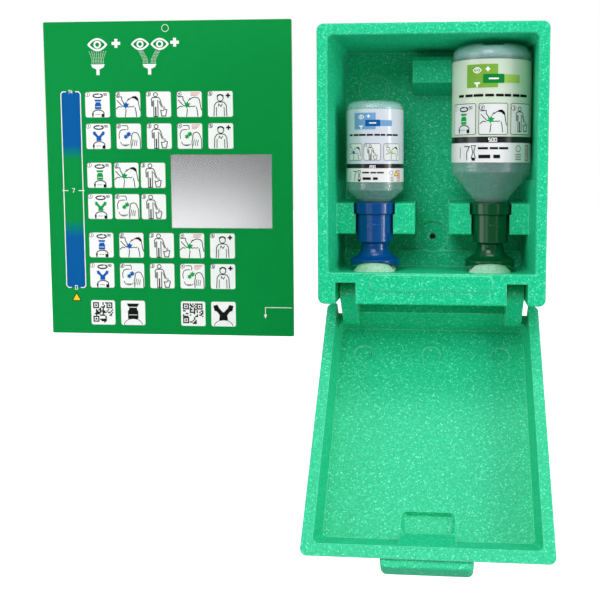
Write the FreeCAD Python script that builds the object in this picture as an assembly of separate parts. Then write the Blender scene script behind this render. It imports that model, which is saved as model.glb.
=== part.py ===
"""Wall-mounted eyewash station: a moulded foam box with two inverted bottles, and a sign with a mirror.

Millimetres. X runs to the right, Y into the wall and Z up. The origin is the mouth of the box's screw
hole on the wall plane, Y = 0. The lid is drawn closed and then swung open to its stop.
"""
import FreeCAD, Part
import math
import os

Vector = FreeCAD.Vector
along_x = Vector(1, 0, 0)
along_z = Vector(0, 0, 1)

# Foam box
box_width = 210.0
box_height = 257.0
box_depth = 105.0
screw_below_top = 200.5
corner_radius = 6.3
edge_radius = 2.0
side_rim = 9.9
top_rim = 10.5
back_wall = 12.6
side_draft = 6.3
ceiling_draft = 5.2
cavity_corner = 5.2
mouth_chamfer = 1.0
lip_below_top = 227.5
lip_height = 3.2
lip_depth = 8.4

# Hinge flange under the floor: two ears, two notches and an apron between them
flange_height = 20.5
apron_half = 69.5
notch_width = 19.4
pivot_behind_front = 36.0
pivot_above_bottom = 9.5
core_start = 65.0
core_wall = 14.7
core_height = 15.8
badge_half = 56.5
badge_height = 14.7
badge_proud = 0.8

# Lid
open_angle = 135.0
lid_depth = 40.0
lid_hollow = 29.5
lid_gap = 1.0
lid_end_wall = 10.5
lid_side_draft = 3.5
lid_far_draft = 17.4
lid_outer_edge = 4.0
lid_outer_draft = 1.5
lid_end_slope = 17.5
arm_radius = 9.0
arm_side_gap = 1.0
arm_inner_gap = 2.5
arm_inside = 9.5
slot_depth = 16.8
stop_gap = 0.3
tab_half = 38.5
tab_reach = 6.0
tab_thickness = 18.0
tab_set_back = 2.5
tab_root = 10.0
tab_corner = 5.2
pocket_size = (48.5, 20.5)
pocket_depth = 5.2
pocket_taper = 4.2
pocket_below_top = 43.5
ramp_below_top = 33.5
mark_radius = 9.0
mark_depth = 0.8
mark_spacing = 68.0
mark_below_top = 217.0

# Hinge pins
pin_radius = 3.0
pin_head_radius = 5.5
pin_head_height = 2.5
pin_in_apron = 12.6
running_clearance = 0.1

# Bottles and their closures, which are the same on both sizes
bottle_behind_front = 50.5
bottle_wall = 1.2
collar_below_top = 163.5
collar_height = 11.6
collar_radius = 19.3
collar_chamfer = 0.8
neck_radius = 14.2
neck_wall = 1.5
neck_length = 25.5
shoulder_end_radius = 14.7
label_thickness = 0.25
label_gap_angle = 14.0
gasket_height = 0.8
nozzle_flange = 2.2
plug_length = 8.4
spout_radius = 5.9
spout_length = 10.5
spray_hole = 0.7
spray_ring = 3.4
spray_count = 6
cup_gap = 0.4
cup_bore_gap = 0.5
barrel_wall = 2.5
cup_throat = 8.4
cup_waist = 13.0
waist_length = 2.0
flare_middle = (2.6, 4.4)
cup_rim_radius = 24.0
barrel_length = 26.0
barrel_step = 2.2
barrel_floor = 2.0
cup_length = 50.0
rim_height = 7.6
rim_flat = 2.0
rim_slope = 1.2
rim_groove = 0.5
cup_wall = 1.7
arch_rise = 5.5
arch_half = 23.0
arrow_proud = 0.4
arrow_root = 0.4
arrow_below_top = 11.0
arrow_half_length = 7.5
arrow_head_length = 5.5
arrow_head_half = 4.6
arrow_stem_half = 2.0

# Each bottle: name, X of its axis, body radius, base and shoulder below the box's top, air space,
# label from and to below the box's top, and whether its base has a hanging slot
large = dict(name="large", x=56.0, radius=37.5, base=16.0, shoulder=134.5, air=12.6, corner=10.5,
             label=(31.5, 125.5), slot=True)
small = dict(name="small", x=-55.5, radius=27.5, base=67.0, shoulder=152.0, air=10.5, corner=7.4,
             label=(75.5, 144.0), slot=False)
slot_width = 18.9
slot_cut = 2.7

# Holders, spacer, screw seat and pads inside the box
holder_behind_front = 42.0
holder_inner = 16.3
holder_top = 164.5
holder_height = 30.0
holder_draft = 2.1
holder_edge = 1.5
collar_clearance = 0.6
barrel_clearance = 1.0
seat_gap = 0.3
body_relief = 0.8
pocket_below_shoulder = 8.0
spacer_behind_front = 61.0
spacer_sides = (-19.7, 18.1)
spacer_top = 23.0
spacer_bottom = 48.0
spacer_slope = 11.0
spacer_chamfer = 4.2
screw_radius = 3.0
seat_radius = 15.4
seat_recess = 1.5
ledge_below_top = 214.5
ledge_proud = 3.2
ring_place = (-61.0, 52.0)
ring_radius = 16.3
ring_width = 2.6
ring_proud = 0.8
pad_half = 19.9
pad_shoulder = 13.7
pad_gap = 0.9
pad_clearance = 0.7
pad_length = 50.5

# Sign
sign_width = 263.0
sign_height = 329.0
sign_thickness = 3.0
sign_right = -145.5
sign_above_box_top = 21.0
sign_corner = 1.5
mirror_size = (107.5, 77.0)
mirror_from_right = 21.7
mirror_below_sign_top = 138.0
mirror_thickness = 1.5
mirror_proud = 0.3
mirror_clearance = 0.25
strip_size = (21.0, 283.5)
strip_thickness = 1.0
strip_inset = 14.7

# Places worked out from the sizes
front = -box_depth
top = screw_below_top
bottom = top - box_height
half_width = box_width / 2
lip_top = top - lip_below_top
floor = lip_top - lip_height
cavity_back = -back_wall
cavity_half = half_width - side_rim
flange_top = bottom + flange_height
pivot_y = front + pivot_behind_front
pivot_z = bottom + pivot_above_bottom
notch_outer = apron_half + notch_width
bottle_y = front + bottle_behind_front
collar_top = top - collar_below_top
cup_bore = neck_radius + cup_bore_gap
cup_radius = cup_bore + barrel_wall
cup_top = collar_top - collar_height - cup_gap
cup_bottom = cup_top - cup_length
arch_radius = (arch_half ** 2 + arch_rise ** 2) / (2 * arch_rise)
past = 1.0
through = 60.0
close = 0.01


def box(x0, x1, y0, y1, z0, z1):
    return Part.makeBox(x1 - x0, y1 - y0, z1 - z0, Vector(x0, y0, z0))


def cylinder(radius, start, end):
    return Part.makeCylinder(radius, (end - start).Length, start, end - start)


def rounded_wire(x0, x1, z0, z1, radius, y):
    """A closed rectangle with round corners, in a plane across Y."""
    inset = radius * (1 - math.sqrt(0.5))
    corners = [(x1, z1, -1, -1), (x0, z1, 1, -1), (x0, z0, 1, 1), (x1, z0, -1, 1)]
    edges = []
    ends = []
    for number, (x, z, to_x, to_z) in enumerate(corners):
        along = Vector(x + to_x * radius, y, z)
        down = Vector(x, y, z + to_z * radius)
        middle = Vector(x + to_x * inset, y, z + to_z * inset)
        first, last = (down, along) if number % 2 == 0 else (along, down)
        edges.append(Part.Arc(first, middle, last).toShape())
        ends.append((first, last))
    sides = [Part.makeLine(ends[n][1], ends[(n + 1) % 4][0]) for n in range(4)]
    return Part.Wire([edge for pair in zip(edges, sides) for edge in pair])


def tapered(start, end):
    """A solid between two wires."""
    return Part.makeLoft([start, end], True, True)


def plate(x0, x1, z0, z1, radius, y0, y1):
    return Part.Face(rounded_wire(x0, x1, z0, z1, radius, y0)).extrude(Vector(0, y1 - y0, 0))


def across_x(points, x0, x1):
    """A prism along X over an outline of (Y, Z) points."""
    wire = Part.makePolygon([Vector(x0, y, z) for y, z in points + points[:1]])
    return Part.Face(wire).extrude(Vector(x1 - x0, 0, 0))


def turned(x, edges):
    """A solid of revolution about a bottle's axis, from edges of (radius, Z) points.

    An edge of two points is straight and one of three is an arc."""
    parts = []
    for points in edges:
        places = [Vector(x + r, bottle_y, z) for r, z in points]
        parts.append(Part.makeLine(*places) if len(places) == 2 else Part.Arc(*places).toShape())
    face = Part.Face(Part.Wire(parts))
    return face.revolve(Vector(x, bottle_y, 0), along_z, 360)


def straight(points):
    """The straight edges of a closed outline."""
    return list(zip(points, points[1:] + points[:1]))


def ring(x, outer, inner, z0, z1):
    return turned(x, straight([(inner, z0), (outer, z0), (outer, z1), (inner, z1)]))


def edges_at(shape, test):
    return [edge for edge in shape.Edges if test(edge.BoundBox)]


def both_sides(make):
    return [make(-1), make(1)]


def swing_open(shape):
    shape.rotate(Vector(0, pivot_y, pivot_z), along_x, open_angle)
    return shape


def hinge_axis(x0, x1, radius):
    return cylinder(radius, Vector(x0, pivot_y, pivot_z), Vector(x1, pivot_y, pivot_z))


def span(side, x0, x1):
    """Two distances from the middle as an increasing pair of X on one side."""
    return sorted((side * x0, side * x1))


def box_outer():
    body = plate(-half_width, half_width, bottom, top, corner_radius, front, 0)
    rims = edges_at(body, lambda b: b.YLength < close)
    return body.makeFillet(edge_radius, rims)


def cavity():
    main = tapered(
        rounded_wire(-cavity_half, cavity_half, floor, top - top_rim, cavity_corner, front),
        rounded_wire(side_draft - cavity_half, cavity_half - side_draft, floor,
                     top - top_rim - ceiling_draft, cavity_corner, cavity_back))
    wide = cavity_half + mouth_chamfer + past
    mouth = tapered(
        rounded_wire(-wide, wide, floor - mouth_chamfer - past,
                     top - top_rim + mouth_chamfer + past, cavity_corner + past, front - past),
        rounded_wire(-cavity_half, cavity_half, floor, top - top_rim, cavity_corner,
                     front + mouth_chamfer))
    lip = box(-half_width, half_width, front - 2 * past, front + lip_depth, floor - 3 * past, lip_top)
    lip_edge = edges_at(lip, lambda b: b.ZMin > lip_top - close and b.YLength < close)
    return main.fuse(mouth).cut(lip.makeFillet(edge_radius, lip_edge))


def holder(side, bottle):
    """The block that carries a bottle by its collar, with a two-step channel open to the front."""
    x = bottle["x"]
    outer = half_width - side_rim / 2
    z = top - holder_top
    y = front + holder_behind_front
    x0, x1 = span(side, holder_inner, outer)
    block = across_x([(y, z), (y, z - holder_height), (past - back_wall, z - holder_height),
                      (past - back_wall, z + holder_draft)], x0, x1)
    block = block.makeFillet(holder_edge, edges_at(block, lambda b: b.YMax < y + close))
    steps = [(collar_radius + collar_clearance, collar_top - collar_height - seat_gap, collar_top + through),
             (cup_radius + barrel_clearance, z - through, collar_top)]
    for radius, z0, z1 in steps:
        channel = cylinder(radius, Vector(x, bottle_y, z0), Vector(x, bottle_y, z1))
        block = block.cut(channel.fuse(box(x - radius, x + radius, y - past, bottle_y, z0, z1)))
    return block


def spacer():
    """The block on the back wall that keeps the two bottles apart."""
    y = front + spacer_behind_front
    z0 = top - spacer_bottom
    z1 = top - spacer_top
    return across_x([(y, z0), (y, z1 - spacer_chamfer), (y + spacer_chamfer, z1),
                     (past - back_wall, z1), (past - back_wall, z0 - spacer_slope)], *spacer_sides)


def body_pocket(bottle):
    """Room in the side wall for a bottle's body, out to the front."""
    radius = bottle["radius"] + label_thickness + body_relief
    x = bottle["x"]
    z0 = top - bottle["shoulder"] - pocket_below_shoulder
    z1 = top - bottle["base"]
    channel = cylinder(radius, Vector(x, bottle_y, z0), Vector(x, bottle_y, z1))
    return channel.fuse(box(x - radius, x + radius, front, bottle_y, z0, z1))


def notch(side):
    """The gap that a lid arm turns in. Its slanting back wall is the stop of the open lid."""
    turn = math.radians(open_angle)
    away = (math.sin(turn), -math.cos(turn))
    down = (-math.cos(turn), -math.sin(turn))
    reach = arm_radius + stop_gap
    z_low = bottom - past
    outline = [(front - past, z_low), (front - past, flange_top)]
    for z in (flange_top, z_low):
        along = (z - pivot_z - reach * away[1]) / down[1]
        outline.append((pivot_y + reach * away[0] + along * down[0], z))
    return across_x(outline, *span(side, apron_half, notch_outer))


def pin_hole(side):
    shank = hinge_axis(*span(side, apron_half - pin_in_apron, half_width + past), pin_radius)
    head = hinge_axis(*span(side, half_width - pin_head_height, half_width + past), pin_head_radius)
    return shank.fuse(head)


def box_shell():
    body = box_outer().cut(cavity())
    blocks = [holder(-1, small), holder(1, large), spacer()]
    ledge_z = top - ledge_below_top
    ledge = box(-cavity_half, cavity_half, cavity_back - ledge_proud, cavity_back + past,
                floor - past, ledge_z)
    badge = plate(-badge_half, badge_half, flange_top - badge_height / 2, flange_top + badge_height / 2,
                  corner_radius, front - badge_proud, front + past)
    ring_x, ring_drop = ring_place
    start = Vector(ring_x, cavity_back - ring_proud, top - ring_drop)
    end = Vector(ring_x, cavity_back + past, top - ring_drop)
    mark = cylinder(ring_radius, start, end).cut(cylinder(ring_radius - ring_width, start, end))
    body = body.multiFuse(blocks + [ledge, badge, mark])
    seat = cylinder(seat_radius, Vector(0, cavity_back - ledge_proud - past, 0),
                    Vector(0, cavity_back + seat_recess, 0))
    screw = cylinder(screw_radius, Vector(0, cavity_back - past, 0), Vector(0, past, 0))
    core = box(core_wall - half_width, half_width - core_wall, front + core_start, -core_wall,
               bottom - past, bottom + core_height)
    cuts = [seat, screw, core, body_pocket(large), body_pocket(small)]
    return body.cut(cuts + both_sides(notch) + both_sides(pin_hole)).removeSplitter()


def lid_tray():
    """The closed lid without its arms."""
    rim = front - lid_gap
    outside = rim - lid_depth
    narrow = half_width - lid_outer_draft
    body = tapered(rounded_wire(-half_width, half_width, bottom, top, corner_radius, rim),
                   rounded_wire(-narrow, narrow, bottom, top - lid_end_slope, corner_radius, outside))
    body = body.makeFillet(lid_outer_edge, edges_at(body, lambda b: b.YMax < outside + close))
    low = bottom + lid_end_wall
    high = top - top_rim
    wide = cavity_half + past * lid_side_draft / lid_hollow
    hollow = tapered(
        rounded_wire(-wide, wide, low, high, cavity_corner, rim + past),
        rounded_wire(lid_side_draft - cavity_half, cavity_half - lid_side_draft, low,
                     high - lid_far_draft, cavity_corner, rim - lid_hollow))
    return body.cut(hollow).fuse(lid_ramp(rim, high))


def lid_ramp(rim, high):
    """The ramp from the finger pocket up to the rim of the lid's free end."""
    panel = rim - lid_hollow
    foot = top - ramp_below_top
    wide = pocket_size[0] / 2
    return across_x([(rim, high), (panel, foot), (panel - past, foot),
                     (panel - past, high - lid_far_draft + past), (rim, high + past)], -wide, wide)


def lid_pocket():
    """The shallow finger pocket in the lid's panel, near its free end."""
    wide, tall = (size / 2 for size in pocket_size)
    z = top - pocket_below_top
    panel = front - lid_gap - lid_hollow
    return tapered(
        rounded_wire(-wide, wide, z - tall, z + tall, cavity_corner, panel + past),
        rounded_wire(pocket_taper - wide, wide - pocket_taper, z - tall + pocket_taper / 2,
                     z + tall - pocket_taper / 2, cavity_corner / 2, panel - pocket_depth))


def lid_arm(side):
    x0, x1 = span(side, apron_half + arm_inner_gap, notch_outer - arm_side_gap)
    inside = front - lid_gap - arm_inside
    bar = box(x0, x1, inside, pivot_y, pivot_z - arm_radius, pivot_z + arm_radius)
    return bar.fuse(hinge_axis(x0, x1, arm_radius))


def lid_slot(side):
    """The gap beside an arm, through the lid's hinge end wall."""
    rim = front - lid_gap
    x0, x1 = span(side, notch_outer - arm_side_gap, cavity_half)
    return box(x0, x1, rim - slot_depth, rim + past, bottom - past, bottom + flange_height)


def lid():
    rim = front - lid_gap
    panel = rim - lid_hollow
    tab = plate(-tab_half, tab_half, top - tab_root, top + tab_reach, tab_corner,
                rim - tab_set_back - tab_thickness, rim - tab_set_back)
    tab_edges = edges_at(tab, lambda b: b.YLength < close and b.ZMax > top)
    body = lid_tray().cut(both_sides(lid_slot) + [lid_pocket()])
    body = body.multiFuse([tab.makeFillet(edge_radius, tab_edges)] + both_sides(lid_arm))
    marks = [cylinder(mark_radius, Vector(n * mark_spacing, panel - mark_depth, top - mark_below_top),
                      Vector(n * mark_spacing, panel + past, top - mark_below_top)) for n in (-1, 0, 1)]
    bores = [hinge_axis(*span(side, apron_half, notch_outer), pin_radius + running_clearance)
             for side in (-1, 1)]
    return swing_open(body.cut(marks + bores).removeSplitter())


def hinge_pin(side):
    shank = hinge_axis(*span(side, apron_half - pin_in_apron, half_width), pin_radius)
    head = hinge_axis(*span(side, half_width - pin_head_height, half_width), pin_head_radius)
    return shank.fuse(head).removeSplitter()


def dust_pad(bottle):
    """The pale plug that stands on the floor, fills the arch under an eyecup and clears its rim."""
    x = bottle["x"]
    peak = cup_bottom + arch_rise - pad_gap
    shoulder = peak - arch_radius + math.sqrt(arch_radius ** 2 - pad_shoulder ** 2)
    y = bottle_y - pad_length / 2
    places = [(pad_half, floor), (pad_half, floor + past), (pad_shoulder, shoulder)]
    right = [Vector(x + r, y, z) for r, z in places]
    left = [Vector(x - r, y, z) for r, z in places]
    arch = Part.Arc(right[2], Vector(x, y, peak), left[2]).toShape()
    edges = [Part.makeLine(left[0], right[0]), Part.makeLine(right[0], right[1]),
             Part.makeLine(right[1], right[2]), arch,
             Part.makeLine(left[2], left[1]), Part.makeLine(left[1], left[0])]
    pad = Part.Face(Part.Wire(edges)).extrude(Vector(0, pad_length, 0))
    inner_rim = cup_rim_radius - cup_wall - pad_clearance
    return pad.common(cylinder(inner_rim, Vector(x, bottle_y, floor), Vector(x, bottle_y, cup_top)))


def bottle_outline(bottle, inset):
    """The edges of a bottle's half section, drawn in by the wall's thickness for its inside."""
    radius = bottle["radius"] - inset
    base = top - bottle["base"] - inset
    shoulder = top - bottle["shoulder"]
    corner = bottle["corner"] - inset
    bend = corner * (1 - math.sqrt(0.5))
    neck = neck_radius - (neck_wall if inset else 0)
    end = shoulder_end_radius - (neck_wall if inset else 0)
    neck_end = collar_top - neck_length
    return [((0, base), (radius - corner, base)),
            ((radius - corner, base), (radius - bend, base - bend), (radius, base - corner)),
            ((radius, base - corner), (radius, shoulder)),
            ((radius, shoulder), (end, collar_top)),
            ((end, collar_top), (neck, collar_top)),
            ((neck, collar_top), (neck, neck_end)),
            ((neck, neck_end), (0, neck_end)),
            ((0, neck_end), (0, base))]


def base_slot(bottle, inset):
    half = slot_width / 2 + inset
    z = top - bottle["base"] - slot_cut - inset
    x = bottle["x"]
    return box(x - half, x + half, bottle_y - through, bottle_y + through, z, z + through)


def bottle_solids(bottle):
    """The whole bottle as a solid, and the space inside it."""
    whole = turned(bottle["x"], bottle_outline(bottle, 0))
    inside = turned(bottle["x"], bottle_outline(bottle, bottle_wall))
    if bottle["slot"]:
        whole = whole.cut(base_slot(bottle, 0))
        inside = inside.cut(base_slot(bottle, bottle_wall))
    return whole, inside


def label(bottle):
    """A printed film round the body, with a gap at the back."""
    x = bottle["x"]
    radius = bottle["radius"]
    z1, z0 = (top - drop for drop in bottle["label"])
    film = ring(x, radius + label_thickness, radius, z0, z1)
    wide = math.tan(math.radians(label_gap_angle / 2)) * (radius + past)
    gap = Part.Face(Part.makePolygon([
        Vector(x, bottle_y, z0), Vector(x - wide, bottle_y + radius + past, z0),
        Vector(x + wide, bottle_y + radius + past, z0), Vector(x, bottle_y, z0)]))
    return film.cut(gap.extrude(Vector(0, 0, z1 - z0)))


def collar(x):
    z0 = collar_top - collar_height
    body = ring(x, collar_radius, neck_radius, z0, collar_top)
    widest = 2 * collar_radius - close
    return body.makeChamfer(collar_chamfer, edges_at(body, lambda b: b.XLength > widest and b.ZLength < close))


def gasket(x):
    z1 = collar_top - neck_length
    return ring(x, neck_radius, neck_radius - neck_wall, z1 - gasket_height, z1)


def nozzle(x):
    """The rinse nozzle: a plug in the neck, a flange under the gasket and a spout in the eyecup."""
    neck_end = collar_top - neck_length
    plug = neck_radius - neck_wall
    under = neck_end - gasket_height
    body = turned(x, straight([
        (0, neck_end + plug_length), (plug, neck_end + plug_length), (plug, under),
        (neck_radius, under), (neck_radius, under - nozzle_flange), (spout_radius, under - nozzle_flange),
        (spout_radius, under - nozzle_flange - spout_length), (0, under - nozzle_flange - spout_length)]))
    holes = []
    for number in range(spray_count):
        angle = 2 * math.pi * number / spray_count
        place = Vector(x + spray_ring * math.cos(angle), bottle_y + spray_ring * math.sin(angle), 0)
        holes.append(cylinder(spray_hole, place + along_z * (under - nozzle_flange - spout_length - past),
                              place + along_z * (neck_end + plug_length + past)))
    return body.cut(holes)


def eyecup(x):
    """The twist-off cap: a barrel over the neck, a waist, and a cup whose rim is arched front and back."""
    barrel = cup_top - barrel_length
    waist = barrel - barrel_step
    neck = waist - waist_length
    rim = cup_bottom + rim_height
    flat = cup_rim_radius - rim_flat
    bead = cup_bottom + rim_height / 2
    flare = (cup_waist + flare_middle[0], rim + flare_middle[1])
    outside = [((cup_bore, cup_top), (cup_radius, cup_top)),
               ((cup_radius, cup_top), (cup_radius, barrel)),
               ((cup_radius, barrel), (cup_waist, waist)),
               ((cup_waist, waist), (cup_waist, neck)),
               ((cup_waist, neck), flare, (flat, rim)),
               ((flat, rim), (cup_rim_radius, rim - rim_slope)),
               ((cup_rim_radius, rim - rim_slope), (cup_rim_radius, bead + rim_groove)),
               ((cup_rim_radius, bead + rim_groove), (cup_rim_radius - rim_groove, bead)),
               ((cup_rim_radius - rim_groove, bead), (cup_rim_radius, bead - rim_groove)),
               ((cup_rim_radius, bead - rim_groove), (cup_rim_radius, cup_bottom))]
    inner_rim = cup_rim_radius - cup_wall
    inner_top = rim - rim_flat
    inner_flare = (flare[0] - cup_wall, flare[1] - rim_flat)
    floor_top = barrel + barrel_floor
    inside = [((cup_rim_radius, cup_bottom), (inner_rim, cup_bottom)),
              ((inner_rim, cup_bottom), (inner_rim, inner_top)),
              ((inner_rim, inner_top), inner_flare, (cup_throat, neck)),
              ((cup_throat, neck), (cup_throat, floor_top)),
              ((cup_throat, floor_top), (cup_bore, floor_top)),
              ((cup_bore, floor_top), (cup_bore, cup_top))]
    body = turned(x, outside + inside)
    arch_centre = cup_bottom + arch_rise - arch_radius
    arch = cylinder(arch_radius, Vector(x, bottle_y - through, arch_centre),
                    Vector(x, bottle_y + through, arch_centre))
    return body.cut(arch).fuse(twist_arrow(x)).removeSplitter()


def twist_arrow(x):
    """A raised arrow on the front of the barrel, pointing the way the cap turns."""
    z = cup_top - arrow_below_top
    neck = arrow_head_length - arrow_half_length
    points = [(-arrow_half_length, 0), (neck, arrow_head_half), (neck, arrow_stem_half),
              (arrow_half_length, arrow_stem_half), (arrow_half_length, -arrow_stem_half),
              (neck, -arrow_stem_half), (neck, -arrow_head_half)]
    wire = Part.makePolygon([Vector(x + u, bottle_y - through, z + v) for u, v in points + points[:1]])
    prism = Part.Face(wire).extrude(Vector(0, through, 0))
    skin = ring(x, cup_radius + arrow_proud, cup_radius - arrow_root, cup_top - barrel_length, cup_top)
    return prism.common(skin)


def saline(bottle, inside):
    """The rinsing fluid, from the nozzle's plug to the air space under the bottle's base."""
    level = top - bottle["base"] - bottle["air"]
    plug_top = collar_top - neck_length + plug_length
    x = bottle["x"]
    room = box(x - through, x + through, bottle_y - through, bottle_y + through, plug_top, level)
    return inside.common(room)


def sign_face():
    return -strip_thickness - sign_thickness


def mirror_corner():
    """The mirror's right-hand X and its top."""
    return sign_right - mirror_from_right, top + sign_above_box_top - mirror_below_sign_top


def sign_board():
    z1 = top + sign_above_box_top
    board = plate(sign_right - sign_width, sign_right, z1 - sign_height, z1, sign_corner,
                  sign_face(), -strip_thickness)
    x1, mirror_top = mirror_corner()
    c = mirror_clearance
    bed = sign_face() + mirror_thickness - mirror_proud
    recess = box(x1 - mirror_size[0] - c, x1 + c, sign_face() - past, bed,
                 mirror_top - mirror_size[1] - c, mirror_top + c)
    return board.cut(recess)


def sign_mirror():
    x1, z1 = mirror_corner()
    y0 = sign_face() - mirror_proud
    plain = box(x1 - mirror_size[0], x1, y0, y0 + mirror_thickness, z1 - mirror_size[1], z1)
    return plain.makeChamfer(mirror_proud, edges_at(plain, lambda b: b.YMax < y0 + close))


def adhesive_strips():
    wide, tall = strip_size
    z0 = top + sign_above_box_top - (sign_height + tall) / 2
    left = sign_right - sign_width + strip_inset
    right = sign_right - strip_inset - wide
    return Part.makeCompound([box(x, x + wide, -strip_thickness, 0, z0, z0 + tall) for x in (left, right)])


def build():
    nodes = {
        "box_shell": box_shell(),
        "lid": lid(),
        "hinge_pin_left": hinge_pin(-1),
        "hinge_pin_right": hinge_pin(1),
        "sign_board": sign_board(),
        "sign_mirror": sign_mirror(),
        "sign_adhesive_strips": adhesive_strips(),
    }
    for bottle in (small, large):
        name = bottle["name"]
        x = bottle["x"]
        whole, inside = bottle_solids(bottle)
        nodes["dust_pad_" + name] = dust_pad(bottle)
        nodes[name + "_bottle"] = whole.cut(inside)
        nodes[name + "_saline"] = saline(bottle, inside)
        nodes[name + "_label"] = label(bottle)
        nodes[name + "_collar"] = collar(x)
        nodes[name + "_gasket"] = gasket(x)
        nodes[name + "_nozzle"] = nozzle(x)
        nodes[name + "_eyecup"] = eyecup(x)
    return nodes


os.makedirs("parts", exist_ok=True)
for node, shape in build().items():
    shape.exportStep("parts/" + node + ".step")
    print(node, "valid" if shape.isValid() else "NOT VALID", len(shape.Solids), round(shape.Volume))
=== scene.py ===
import bpy
import bmesh
import math
import random
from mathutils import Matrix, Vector
from mathutils.geometry import tessellate_polygon


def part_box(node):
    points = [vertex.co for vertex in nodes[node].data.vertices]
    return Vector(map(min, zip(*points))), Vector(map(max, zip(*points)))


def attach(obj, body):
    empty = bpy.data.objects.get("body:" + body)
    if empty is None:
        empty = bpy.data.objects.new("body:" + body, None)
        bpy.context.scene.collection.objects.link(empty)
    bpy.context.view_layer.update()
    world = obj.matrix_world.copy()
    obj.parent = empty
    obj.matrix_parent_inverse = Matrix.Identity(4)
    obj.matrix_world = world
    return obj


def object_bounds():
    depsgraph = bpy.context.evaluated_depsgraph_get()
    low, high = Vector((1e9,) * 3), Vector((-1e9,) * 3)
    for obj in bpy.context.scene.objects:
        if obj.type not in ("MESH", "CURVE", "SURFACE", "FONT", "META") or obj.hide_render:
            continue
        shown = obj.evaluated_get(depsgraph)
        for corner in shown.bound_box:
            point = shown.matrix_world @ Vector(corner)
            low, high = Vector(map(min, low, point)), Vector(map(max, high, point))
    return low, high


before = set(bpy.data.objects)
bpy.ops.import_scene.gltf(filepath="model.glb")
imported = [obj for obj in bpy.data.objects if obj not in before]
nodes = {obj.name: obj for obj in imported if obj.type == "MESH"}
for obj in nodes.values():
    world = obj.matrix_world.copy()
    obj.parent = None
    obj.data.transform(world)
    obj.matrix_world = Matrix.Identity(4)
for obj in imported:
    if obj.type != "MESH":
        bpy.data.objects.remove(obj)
cadBox = [list(corner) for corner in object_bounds()]
mm = 0.001


def put(tree, slot, value):
    if isinstance(value, Socket):
        tree.links.new(value.link, slot)
    else:
        slot.default_value = value


def makeNode(tree, kind, settings=None, values=None, out=0):
    node = tree.nodes.new(kind)
    for name, value in (settings or {}).items():
        if name == "stops":
            ramp = node.color_ramp
            while len(ramp.elements) < len(value):
                ramp.elements.new(0.5)
            for element, (place, colour) in zip(ramp.elements, value):
                element.position = place
                element.color = colour
        else:
            setattr(node, name, value)
    for name, value in (values or {}).items():
        put(tree, node.inputs[name], value)
    return Socket(tree, node.outputs[out])


class Socket:
    # wraps one output socket, so that shader maths reads as plain sums
    def __init__(self, tree, link):
        self.tree = tree
        self.link = link

    def maths(self, operation, *values):
        return makeNode(self.tree, "ShaderNodeMath", {"operation": operation}, dict(enumerate(values)))

    def __add__(self, other): return self.maths("ADD", self, other)
    def __radd__(self, other): return self.maths("ADD", other, self)
    def __sub__(self, other): return self.maths("SUBTRACT", self, other)
    def __rsub__(self, other): return self.maths("SUBTRACT", other, self)
    def __mul__(self, other): return self.maths("MULTIPLY", self, other)
    def __rmul__(self, other): return self.maths("MULTIPLY", other, self)
    def __truediv__(self, other): return self.maths("DIVIDE", self, other)
    def __rtruediv__(self, other): return self.maths("DIVIDE", other, self)
    def __pow__(self, other): return self.maths("POWER", self, other)
    def below(self, other): return self.maths("LESS_THAN", self, other)
    def lesser(self, other): return self.maths("MINIMUM", self, other)
    def greater(self, other): return self.maths("MAXIMUM", self, other)


class Graph:
    def __init__(self, tree):
        self.tree = tree

    def node(self, kind, settings=None, values=None, out=0):
        return makeNode(self.tree, kind, settings, values, out)

    def place(self):
        return self.node("ShaderNodeTexCoord", out="Object")

    def axis(self, name, place=None):
        return self.node("ShaderNodeSeparateXYZ", values={0: place or self.place()}, out=name)

    def noise(self, scale, detail=2.0, rough=0.5, place=None):
        return self.node("ShaderNodeTexNoise", values={"Vector": place or self.place(), "Scale": scale,
                                                       "Detail": detail, "Roughness": rough}, out="Fac")

    def cells(self, scale, place, feature="F1", out="Distance"):
        return self.node("ShaderNodeTexVoronoi", {"feature": feature}, {"Vector": place, "Scale": scale}, out)

    def shades(self, scale, place):
        # one random number to each cell
        return self.node("ShaderNodeSeparateColor", values={0: self.cells(scale, place, out="Color")})

    def mix(self, factor, first, second):
        return self.node("ShaderNodeMix", {"data_type": "RGBA"}, {0: factor, 6: first, 7: second}, out=2)

    def ramp(self, factor, stops):
        return self.node("ShaderNodeValToRGB", {"stops": stops}, {0: factor})

    def fade(self, value, start, end, first, last):
        # goes from first to last while the value goes from start to end
        return self.node("ShaderNodeMapRange", values={0: value, 1: start, 2: end, 3: first, 4: last})

    def soften(self, width, samples):
        return self.node("ShaderNodeBevel", {"samples": samples}, {"Radius": width})

    def bump(self, height, strength, distance, normal=None):
        values = {"Height": height, "Strength": strength, "Distance": distance}
        if normal:
            values["Normal"] = normal
        return self.node("ShaderNodeBump", values=values)

    def edges(self, width, turns, share):
        # a softened normal, and a mask that is strongest along edges
        soft = self.soften(width, 6)
        flat = self.node("ShaderNodeNewGeometry", out="Normal")
        match = self.node("ShaderNodeVectorMath", {"operation": "DOT_PRODUCT"}, {0: soft, 1: flat}, "Value")
        return soft, self.fade(1 - match, turns[0], turns[1], 0.0, share)


class Material(Graph):
    def __init__(self, name):
        self.made = bpy.data.materials.new(name)
        self.made.use_nodes = True
        super().__init__(self.made.node_tree)
        self.shader = self.tree.nodes["Principled BSDF"]

    def set(self, **values):
        for name, value in values.items():
            put(self.tree, self.shader.inputs[name.replace("_", " ")], value)

    def finish(self, surface):
        put(self.tree, self.tree.nodes["Material Output"].inputs["Surface"], surface)


def colour(red, green, blue, alpha=1.0):
    # a colour in screen values of 0 to 255, as linear light
    def linear(value):
        value /= 255
        return value / 12.92 if value <= 0.04045 else ((value + 0.055) / 1.055) ** 2.4
    return (linear(red), linear(green), linear(blue), alpha)


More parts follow.
